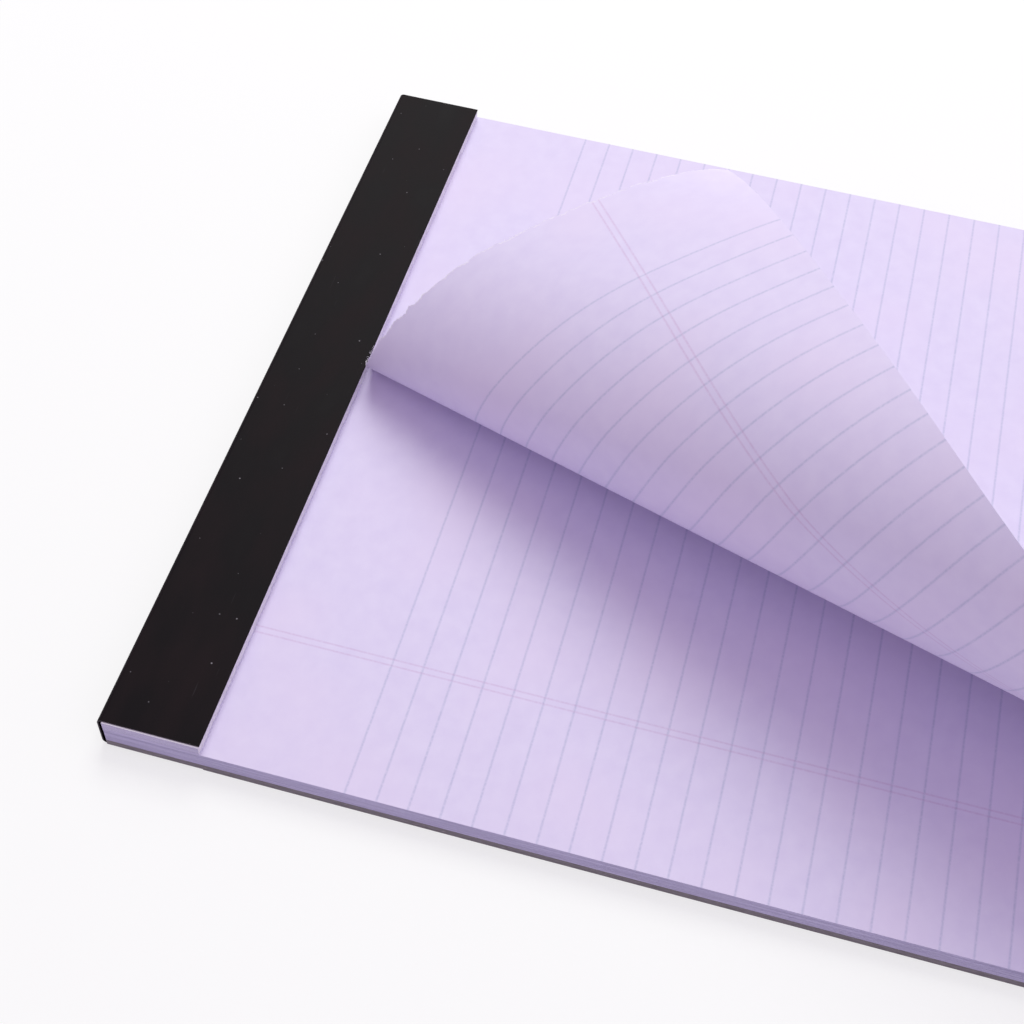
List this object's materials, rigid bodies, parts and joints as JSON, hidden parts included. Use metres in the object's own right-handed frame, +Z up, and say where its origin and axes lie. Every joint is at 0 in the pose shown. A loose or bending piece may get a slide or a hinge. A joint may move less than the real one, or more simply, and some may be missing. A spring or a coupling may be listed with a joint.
{
  "type": "notepad",
  "caption": "Letter-size writing pad of lilac ruled perforated sheets, tape-bound at the top on a stiff board, its top sheet torn part way along the perforation and rolled over.",
  "frame": {"origin": "middle of the board's back face, which the pad lies on", "axes": "+X across the sheet to the reader's right, +Y up the sheet towards the tape, +Z up through the sheets"},
  "size_m": [0.216, 0.3041, 0.0762],
  "materials": {
    "backing_board": "matte grey chipboard",
    "page_block": "matte lilac ruled paper",
    "top_sheet": "matte lilac ruled paper",
    "stub_stack": "matte lilac paper, torn along one edge",
    "binding_tape": "matte black binding tape",
    "staples": "bright wire"
  },
  "bodies": {
    "root": {"backing_board": "backing_board", "page_block": "page_block", "top_sheet": "top_sheet", "stub_stack": "stub_stack", "binding_tape": "binding_tape", "staples": "staples"}
  },
  "joints": []
}
